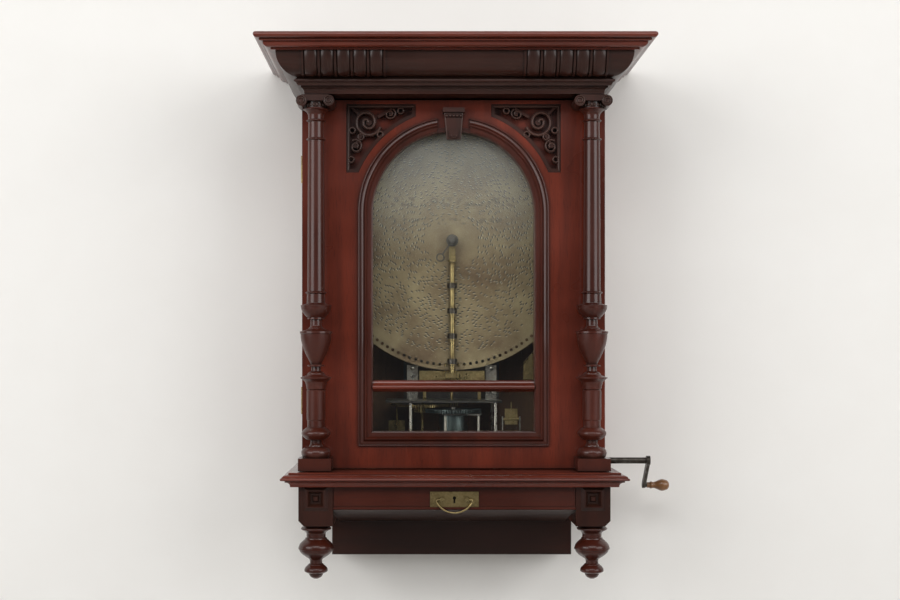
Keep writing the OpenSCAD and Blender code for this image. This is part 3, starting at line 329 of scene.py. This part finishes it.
def disc_metal():
    """Zinc-coated tune disc: blotched grey bronze, with two rows of worn-off print."""
    mat = metal("disc_zinc", (0.235, 0.188, 0.105), (0.088, 0.053, 0.024), 9, 0.4, 0.58, shade_amount=0.0,
                metallic=0.25)
    nodes, links = mat.node_tree.nodes, mat.node_tree.links
    bsdf = nodes["Principled BSDF"]
    base = bsdf.inputs["Base Color"].links[0].from_socket
    coord = nodes.new("ShaderNodeTexCoord")
    place = nodes.new("ShaderNodeSeparateXYZ")
    links.new(coord.outputs["Object"], place.inputs[0])
    letters = add(nodes, "ShaderNodeTexNoise")
    letters.inputs["Scale"].default_value = 95
    letters.inputs["Detail"].default_value = 1
    links.new(coord.outputs["Object"], letters.inputs["Vector"])
    worn = add(nodes, "ShaderNodeMapRange")
    worn.inputs["From Min"].default_value = 0.5
    worn.inputs["From Max"].default_value = 0.56
    links.new(letters.outputs["Fac"], worn.inputs["Value"])
    rows = []
    for middle, half in PRINT_ROWS:
        row = add(nodes, "ShaderNodeMath", operation="COMPARE")
        row.inputs[1].default_value = middle
        row.inputs[2].default_value = half
        links.new(place.outputs["Z"], row.inputs[0])
        rows.append(row)
    either = add(nodes, "ShaderNodeMath", operation="MAXIMUM")
    links.new(rows[0].outputs[0], either.inputs[0])
    links.new(rows[1].outputs[0], either.inputs[1])
    centre = add(nodes, "ShaderNodeMath", operation="COMPARE")
    centre.inputs[1].default_value = 0.0
    centre.inputs[2].default_value = 0.118
    links.new(place.outputs["X"], centre.inputs[0])
    inside = add(nodes, "ShaderNodeMath", operation="MULTIPLY")
    links.new(either.outputs[0], inside.inputs[0])
    links.new(centre.outputs[0], inside.inputs[1])
    print_mask = add(nodes, "ShaderNodeMath", operation="MULTIPLY")
    links.new(inside.outputs[0], print_mask.inputs[0])
    links.new(worn.outputs[0], print_mask.inputs[1])
    soft = add(nodes, "ShaderNodeMath", operation="MULTIPLY")
    soft.inputs[1].default_value = 0.55
    links.new(print_mask.outputs[0], soft.inputs[0])
    ink = add(nodes, "ShaderNodeMix", data_type="RGBA")
    ink.inputs["B"].default_value = (0.035, 0.028, 0.02, 1)
    links.new(soft.outputs[0], ink.inputs["Factor"])
    links.new(base, ink.inputs["A"])
    links.new(ink.outputs["Result"], bsdf.inputs["Base Color"])
    return mat


PRINT_ROWS = ((0.508, 0.009), (0.470, 0.006))
RED_LIGHT = (0.142, 0.021, 0.0085)
RED_DARK = (0.050, 0.0085, 0.004)
# Painted shade: MID is a darker copy of the mahogany for parts in shade, such as the window moulding's
# downward faces and the drawer front under the base's nose.
MID_LIGHT = (0.064, 0.0105, 0.0042)
MID_DARK = (0.026, 0.0050, 0.0024)
# Painted highlight: RIDGE is a lighter, greyer copy of the mahogany for the crests of the carved ridges on
# spandrels, volutes, eggs and keystone.
RIDGE_LIGHT = (0.060, 0.022, 0.014)
RIDGE_DARK = (0.022, 0.009, 0.006)
# Painted shade: DEEP is a much darker copy of the mahogany, for the materials of parts that lie in the
# cornice's shadow or face down, such as the keystone, capitals, entablature, frieze and spandrel recesses.
DEEP_LIGHT = (0.036, 0.0085, 0.0042)
DEEP_DARK = (0.014, 0.005, 0.003)
MATERIALS = {
    "mahogany_upright": wood("mahogany_upright", RED_LIGHT, RED_DARK, "Z"),
    "mahogany_across": wood("mahogany_across", RED_LIGHT, RED_DARK, "X"),
    "shaded_upright": wood("shaded_upright", MID_LIGHT, MID_DARK, "Z", roughness=0.36, coat=0.3),
    "shaded_across": wood("shaded_across", MID_LIGHT, MID_DARK, "X", roughness=0.36, coat=0.25),
    "deep_shade_upright": wood("deep_shade_upright", DEEP_LIGHT, DEEP_DARK, "Z", roughness=0.36, coat=0.16),
    "ridge_highlight": wood("ridge_highlight", RIDGE_LIGHT, RIDGE_DARK, "Z", roughness=0.36, coat=0.16),
    "deep_shade_across": wood("deep_shade_across", DEEP_LIGHT, DEEP_DARK, "X", roughness=0.36, coat=0.16),
    "inside_wood": wood("inside_wood", (0.12, 0.062, 0.03), (0.045, 0.024, 0.012), "Z", roughness=0.6,
                        coat=0.0),
    "aged_brass": metal("aged_brass", (0.46, 0.36, 0.17), (0.17, 0.125, 0.058), 45, 0.24, 0.5),
    "bright_steel": metal("bright_steel", (0.60, 0.58, 0.53), (0.33, 0.30, 0.25), 50, 0.22, 0.42),
    "black_iron": metal("black_iron", (0.022, 0.021, 0.020), (0.045, 0.038, 0.030), 40, 0.35, 0.6,
                        metallic=0.0),
    "forged_iron": metal("forged_iron", (0.10, 0.09, 0.08), (0.035, 0.028, 0.022), 55, 0.3, 0.55),
    "disc_zinc": disc_metal(),
    "slot_shadow": metal("slot_shadow", (0.012, 0.009, 0.006), (0.02, 0.015, 0.010), 40, 0.5, 0.7, shade_amount=0.0,
                         metallic=0.0),
    # Painted highlight: pale bright metal for the turned-up lips of the disc slots.
    "slot_lip_highlight": metal("slot_lip_highlight", (0.62, 0.56, 0.40), (0.38, 0.31, 0.20), 60, 0.35, 0.5, shade_amount=0.0,
                      metallic=0.3),
    "blued_steel": metal("blued_steel", (0.10, 0.13, 0.13), (0.05, 0.06, 0.06), 30, 0.3, 0.5),
    "window_glass": window_glass(),
    "handle_wood": wood("handle_wood", (0.36, 0.17, 0.06), (0.10, 0.04, 0.016), "X", roughness=0.3,
                        coat=0.5, coat_roughness=0.15),
}
FINISH = {
    "mahogany_upright": ["case_side_left", "case_side_right", "door_frame"],
    "mahogany_across": ["floor_board", "crown_moulding", "base_moulding", "base_sides", "glazing_bar"],
    "shaded_upright": ["window_moulding", "columns", "finials", "plinths"],
    "shaded_across": ["drawer_front"],
    "deep_shade_upright": ["corner_blocks", "spandrels", "keystone", "capitals"],
    "deep_shade_across": ["frieze_moulding", "entablature", "soffit_panel", "tail_box"],
    "inside_wood": ["back_board", "top_boards", "glass_beads", "drawer_box"],
    "aged_brass": ["wall_hangers", "hinge_case_leaves", "hinge_door_leaves", "hinge_pins",
                   "coin_slot_plate", "coin_chute", "crank_bush", "star_gantry", "ornament_plate",
                   "pull_plate", "bail_handle", "drive_sprocket", "train_wheel", "governor_fan",
                   "pressure_bar", "coin_lever"],
    "bright_steel": ["bedplate_posts", "comb_left", "comb_right", "disc_spindle", "disc_rests",
                     "motor_pillars", "star_wheels", "coin_bracket",
                     "winding_arbor"],
    "black_iron": ["bedplate", "comb_clamps", "motor_plates", "bar_latch"],
    "forged_iron": ["winding_crank", "pressure_rollers"],
    "disc_zinc": ["tune_disc"],
    "blued_steel": ["spring_barrel"],
    "window_glass": ["door_glass"],
    "handle_wood": ["crank_grip"],
}
for finish, names in FINISH.items():
    for name in names:
        mesh = NODES[name].data
        mesh.materials.clear()
        mesh.materials.append(MATERIALS[finish])


# ---------------------------------------------------------------- carved and punched detail

def piece(name, mesh, finish, body):
    """A finished mesh becomes a piece that rides on a body."""
    mesh.materials.clear()
    mesh.materials.append(MATERIALS[finish])
    obj = bpy.data.objects.new(name, mesh)
    bpy.context.scene.collection.objects.link(obj)
    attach(obj, body)
    return obj


def mesh_of(name, bm):
    bmesh.ops.recalc_face_normals(bm, faces=bm.faces)
    mesh = bpy.data.meshes.new(name)
    bm.to_mesh(mesh)
    bm.free()
    return mesh


def smooth(mesh):
    mesh.polygons.foreach_set("use_smooth", [True] * len(mesh.polygons))
    return mesh


def ridges(name, paths, radius, finish, body):
    """Round carved ridges: one tube along each path of points, in millimetres."""
    curve = bpy.data.curves.new(name + "_path", "CURVE")
    curve.dimensions = "3D"
    curve.bevel_depth = radius * MM
    curve.bevel_resolution = 2
    curve.use_fill_caps = True
    for path in paths:
        spline = curve.splines.new("POLY")
        spline.points.add(len(path) - 1)
        for point, place in zip(spline.points, path):
            point.co = (place[0] * MM, place[1] * MM, place[2] * MM, 1)
    holder = bpy.data.objects.new(name + "_path", curve)
    bpy.context.scene.collection.objects.link(holder)
    graph = bpy.context.evaluated_depsgraph_get()
    mesh = bpy.data.meshes.new_from_object(holder.evaluated_get(graph))
    bpy.data.objects.remove(holder)
    return piece(name, smooth(mesh), finish, body)


def in_mm(node):
    low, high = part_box(node)
    return [v / MM for v in low], [v / MM for v in high]


# Slots of the tune disc: each is a punched hole, shown as a dark box of painted shade, with a lip turned up
# along one edge whose pale colour is a painted highlight.
# Widths and depths are in millimetres, and a slot's length and the gap after it are drawn at random
disc_low, disc_high = in_mm("tune_disc")
DISC_Z = (disc_low[2] + disc_high[2]) / 2
FIRST_TRACK_R, TRACK_STEP, TRACK_COUNT = 52, 3.3, 50
SLOT_W, SLOT_DEPTH = 2.5, 0.3
LIP_W, LIP_DEPTH = 0.7, 0.5
LIP_PLACE = Vector((1.6, -0.1, 0)) * MM
SLOT_GAPS = (4, 6, 9, 13, 20, 32, 50)


def tune_slots():
    holes, lips = bmesh.new(), bmesh.new()
    for track in range(TRACK_COUNT):
        radius = FIRST_TRACK_R + TRACK_STEP * track
        angle = random.uniform(0, 0.2)
        while angle < 2 * math.pi - 0.03:
            length = random.uniform(4.6, 7.2)
            skew = Matrix.Rotation(random.uniform(-0.3, 0.3), 4, "Y")
            turn = Matrix.Rotation(-angle, 4, "Y") @ skew
            centre = Vector((radius * math.cos(angle), disc_low[1], DISC_Z + radius * math.sin(angle)))
            spot = Matrix.Translation(centre * MM) @ turn
            hole_size = Matrix.Diagonal((SLOT_W, SLOT_DEPTH, length * 0.8, 1))
            bmesh.ops.create_cube(holes, size=MM, matrix=spot @ hole_size)
            lip_size = Matrix.Diagonal((LIP_W, LIP_DEPTH, length * 0.7, 1))
            bmesh.ops.create_cube(lips, size=MM, matrix=spot @ Matrix.Translation(LIP_PLACE) @ lip_size)
            angle += (length + random.choice(SLOT_GAPS)) / radius
    piece("tune_slot_holes", mesh_of("tune_slot_holes", holes), "slot_shadow", "disc")
    piece("tune_slot_lips", mesh_of("tune_slot_lips", lips), "slot_lip_highlight", "disc")


tune_slots()

# Gadroons of the frieze: rounded tongues between the ribs, following the bulge of the moulding
crown_low = in_mm("crown_moulding")[0]
PORCH_Y = -283.0
FRIEZE_TOP = crown_low[2]
FRIEZE_FOOT, FRIEZE_REACH, FRIEZE_HEIGHT = 4.0, 36.0, 41.0
RIB_X, RIB_PITCH = 273.5, 29.5
TONGUES = 5
TONGUE_HALF_W, TONGUE_RISE, TONGUE_SUNK = 12.8, 4.6, 0.5
TONGUE_END = 0.3
FIRST_DEGREE, SWEEP_DEGREES = 8, 92


def tongue(side, middle):
    """One gadroon as a mesh: a crowned strip with a round lower end, its edges sunk in the frieze."""
    bm = bmesh.new()
    bmesh.ops.create_grid(bm, x_segments=10, y_segments=14, size=1)
    for v in bm.verts:
        across, along = v.co.x, (v.co.y + 1) / 2
        tail = max(0.0, 1 - along / TONGUE_END)
        crown = math.sqrt(max(0.0, 1 - across ** 2 - tail ** 2))
        out = TONGUE_RISE * crown - TONGUE_SUNK
        t = math.radians(FIRST_DEGREE + SWEEP_DEGREES * along)
        v.co = Vector((side * (middle + TONGUE_HALF_W * across),
                       PORCH_Y - FRIEZE_FOOT - (FRIEZE_REACH + out) * math.sin(t),
                       FRIEZE_TOP - (FRIEZE_HEIGHT + out) * math.cos(t))) * MM
    bmesh.ops.recalc_face_normals(bm, faces=bm.faces)
    if sum(f.normal.y for f in bm.faces) > 0:
        bmesh.ops.reverse_faces(bm, faces=bm.faces)
    bmesh.ops.solidify(bm, geom=bm.faces[:], thickness=1.2 * MM)
    mesh = bpy.data.meshes.new("tongue")
    bm.to_mesh(mesh)
    bm.free()
    return mesh


def gadroons():
    both = bmesh.new()
    for side in (-1, 1):
        for k in range(TONGUES):
            part = tongue(side, RIB_X - RIB_PITCH * (k + 0.5))
            both.from_mesh(part)
            bpy.data.meshes.remove(part)
    piece("frieze_gadroons", smooth(mesh_of("frieze_gadroons", both)), "deep_shade_across", "case")


gadroons()

# Spandrels: rounded ridges along the flat scrolls, as the carver's gouge leaves them
spandrel_low, spandrel_high = in_mm("spandrels")
SPANDREL_Y = spandrel_low[1]


def scroll_line(centre, radius, width, turn):
    """The middle line of a scroll made of half rings, each smaller than the one before."""
    points = []
    for k in range(4):
        ring = radius * (1 - 0.24 * k)
        if ring <= width + 0.5:
            break
        shift = 0 if k % 2 == 0 else -0.24 * radius
        first = 0 if k % 2 == 0 else 180
        for step in range(13):
            a = math.radians(first + 15 * step)
            x, z = shift + (ring - width / 2) * math.cos(a), (ring - width / 2) * math.sin(a)
            t = math.radians(turn)
            points.append((centre[0] + x * math.cos(t) - z * math.sin(t),
                           centre[1] + x * math.sin(t) + z * math.cos(t)))
    return points


def ring_line(centre, radius, first=0, last=360, steps=24):
    return [(centre[0] + radius * math.cos(math.radians(first + (last - first) * k / steps)),
             centre[1] + radius * math.sin(math.radians(first + (last - first) * k / steps)))
            for k in range(steps + 1)]


def both_doors_sides(lines, y):
    return [[(side * x, y, z) for x, z in line] for side in (-1, 1) for line in lines]


def spandrel_ridges():
    top = spandrel_high[2]
    low = spandrel_low[2]
    big = (157, top - 34.4)
    ridges("spandrel_scrolls", both_doors_sides([scroll_line(big, 26, 6, 200)], SPANDREL_Y), 2.3,
           "ridge_highlight", "door")
    thin = [scroll_line((182, low + 49.5), 13, 4, 60), scroll_line((117, top - 17), 11, 3.5, 120)]
    thin += [ring_line(c, 5.3) for c in ((98, top - 12), (136, top - 56), (188, low + 78), (190, low + 24),
                                         (172, low + 66))]
    ridges("spandrel_leaves", both_doors_sides(thin, SPANDREL_Y), 1.5, "ridge_highlight", "door")
    frame_lines = [[(74, top - 3.5), (195.5, top - 3.5), (195.5, low + 3.5)]]
    ridges("spandrel_frames", both_doors_sides(frame_lines, SPANDREL_Y), 1.6, "ridge_highlight", "door")


spandrel_ridges()

# Capitals: a spiral cut into each volute's face, and a necklace of eggs under them
capital_high = in_mm("capitals")[1]
POST_X, POST_Y = 253.0, -254.0
VOLUTE_X, VOLUTE_Z = 24.8, capital_high[2] - 11
VOLUTE_FACE_Y = POST_Y - 26.6
SPIRAL_STEPS = 20
EGGS, EGG_R, EGG_RING_R = 22, 2.5, 20.6
EGG_STRETCH = Matrix.Diagonal((1, 1, 1.35, 1))


def spiral_line(centre, outer, inner, turns, hand):
    points = []
    steps = int(SPIRAL_STEPS * turns)
    for k in range(steps + 1):
        radius = outer + (inner - outer) * k / steps
        angle = 2 * math.pi * k / SPIRAL_STEPS + 1.6
        points.append((centre[0] + hand * radius * math.cos(angle), centre[1] + radius * math.sin(angle)))
    return points


def capital_carving():
    lines = []
    for side in (-1, 1):
        for hand in (-1, 1):
            centre = (side * POST_X + hand * VOLUTE_X, VOLUTE_Z)
            spiral = spiral_line(centre, outer=8.6, inner=2.6, turns=1.9, hand=hand)
            lines.append([(x, VOLUTE_FACE_Y, z) for x, z in spiral])
    ridges("volute_spirals", lines, 1.2, "ridge_highlight", "door")
    eggs = bmesh.new()
    for side in (-1, 1):
        for k in range(EGGS):
            a = 2 * math.pi * k / EGGS
            place = Vector((side * POST_X + EGG_RING_R * math.cos(a), POST_Y + EGG_RING_R * math.sin(a),
                            VOLUTE_Z - 6.4))
            spot = Matrix.Translation(place * MM) @ EGG_STRETCH
            bmesh.ops.create_uvsphere(eggs, u_segments=8, v_segments=6, radius=EGG_R * MM, matrix=spot)
    piece("capital_eggs", smooth(mesh_of("capital_eggs", eggs)), "ridge_highlight", "door")


capital_carving()

# Keystone: side fillets and a small lunette at its foot
key_low = in_mm("keystone")[0]


def keystone_carving():
    face = key_low[1] + 4.4
    foot = key_low[2]
    lines = [[(-12.4, foot + 1.5), (-16.4, foot + 48)], [(12.4, foot + 1.5), (16.4, foot + 48)]]
    ridges("keystone_fillets", [[(x, face, z) for x, z in line] for line in lines], 1.1, "ridge_highlight",
           "door")
    lunette = ring_line((0, foot + 8), 5.5, 180, 360, 14)
    ridges("keystone_lunette", [[(x, key_low[1] + 1, z) for x, z in lunette]], 1.0, "ridge_highlight", "door")


keystone_carving()


# ---------------------------------------------------------------- camera, wall, floor and light

def plane(name, corners):
    bm = bmesh.new()
    bm.faces.new([bm.verts.new(c) for c in corners])
    mesh = bpy.data.meshes.new(name)
    bm.to_mesh(mesh)
    bm.free()
    obj = bpy.data.objects.new(name, mesh)
    bpy.context.scene.collection.objects.link(obj)
    return obj


def plaster(name, light, dark, seen_from_behind):
    mat, nodes, links, bsdf = material(name)
    coord = nodes.new("ShaderNodeTexCoord")
    noise = add(nodes, "ShaderNodeTexNoise")
    noise.inputs["Scale"].default_value = 9
    noise.inputs["Detail"].default_value = 4
    links.new(coord.outputs["Object"], noise.inputs["Vector"])
    ramp = add(nodes, "ShaderNodeMix", data_type="RGBA")
    ramp.inputs["A"].default_value = (*dark, 1)
    ramp.inputs["B"].default_value = (*light, 1)
    links.new(noise.outputs["Fac"], ramp.inputs["Factor"])
    links.new(ramp.outputs["Result"], bsdf.inputs["Base Color"])
    bsdf.inputs["Roughness"].default_value = 0.9
    if not seen_from_behind:
        clear = nodes.new("ShaderNodeBsdfTransparent")
        side = nodes.new("ShaderNodeNewGeometry")
        path = nodes.new("ShaderNodeLightPath")
        open_to = add(nodes, "ShaderNodeMath", operation="MAXIMUM")
        links.new(side.outputs["Backfacing"], open_to.inputs[0])
        links.new(path.outputs["Is Shadow Ray"], open_to.inputs[1])
        mix = nodes.new("ShaderNodeMixShader")
        links.new(open_to.outputs[0], mix.inputs[0])
        links.new(bsdf.outputs[0], mix.inputs[1])
        links.new(clear.outputs[0], mix.inputs[2])
        links.new(mix.outputs[0], nodes["Material Output"].inputs["Surface"])
    return mat


FLOOR_Z = -0.75
wall = plane("backdrop_wall", [(-3, 0.002, FLOOR_Z), (3, 0.002, FLOOR_Z), (3, 0.002, 2.6),
                               (-3, 0.002, 2.6)])
wall.data.materials.append(plaster("wall_plaster", (0.86, 0.845, 0.815), (0.83, 0.81, 0.775), False))
floor = plane("studio_floor", [(-4, -5, FLOOR_Z), (4, -5, FLOOR_Z), (4, 3, FLOOR_Z), (-4, 3, FLOOR_Z)])
floor.data.materials.append(plaster("floor_plaster", (0.46, 0.45, 0.43), (0.42, 0.41, 0.39), True))


def area_light(name, place, aim, size, power, tint=(1, 1, 1)):
    data = bpy.data.lights.new(name, "AREA")
    data.shape = "RECTANGLE"
    data.size, data.size_y = size
    data.energy = power
    data.color = tint
    obj = bpy.data.objects.new(name, data)
    obj.location = place
    obj.rotation_euler = (Vector(aim) - Vector(place)).to_track_quat("-Z", "Y").to_euler()
    bpy.context.scene.collection.objects.link(obj)


area_light("left_soft", (-3.2, -3.0, 1.5), (0, 0, 0.3), (3.0, 2.6), 104)
area_light("right_soft", (3.2, -3.0, 1.5), (0, 0, 0.3), (3.0, 2.6), 98)
area_light("front_high", (0, -3.4, 2.7), (0, 0, 0.25), (3.2, 1.4), 60)
area_light("back_soft", (0.5, 2.4, 1.4), (0, 0.1, 0.2), (2.2, 1.6), 45)

world = bpy.data.worlds.new("studio")
bpy.context.scene.world = world
world.use_nodes = True
world.node_tree.nodes["Background"].inputs["Color"].default_value = (0.95, 0.96, 1.0, 1)
world.node_tree.nodes["Background"].inputs["Strength"].default_value = 0.08

VIEW_MM = (-71.5, -2923.0, 216.0)
camera_data = bpy.data.cameras.new("camera")
camera_data.sensor_width = 36
camera_data.lens = 58.2
camera_data.shift_x = 0.0389
camera_data.shift_y = 0.0589
camera = bpy.data.objects.new("camera", camera_data)
camera.location = [v * MM for v in VIEW_MM]
camera.rotation_euler = (math.pi / 2, 0, 0)
bpy.context.scene.collection.objects.link(camera)
bpy.context.scene.camera = camera
bpy.context.scene.view_settings.view_transform = "Standard"
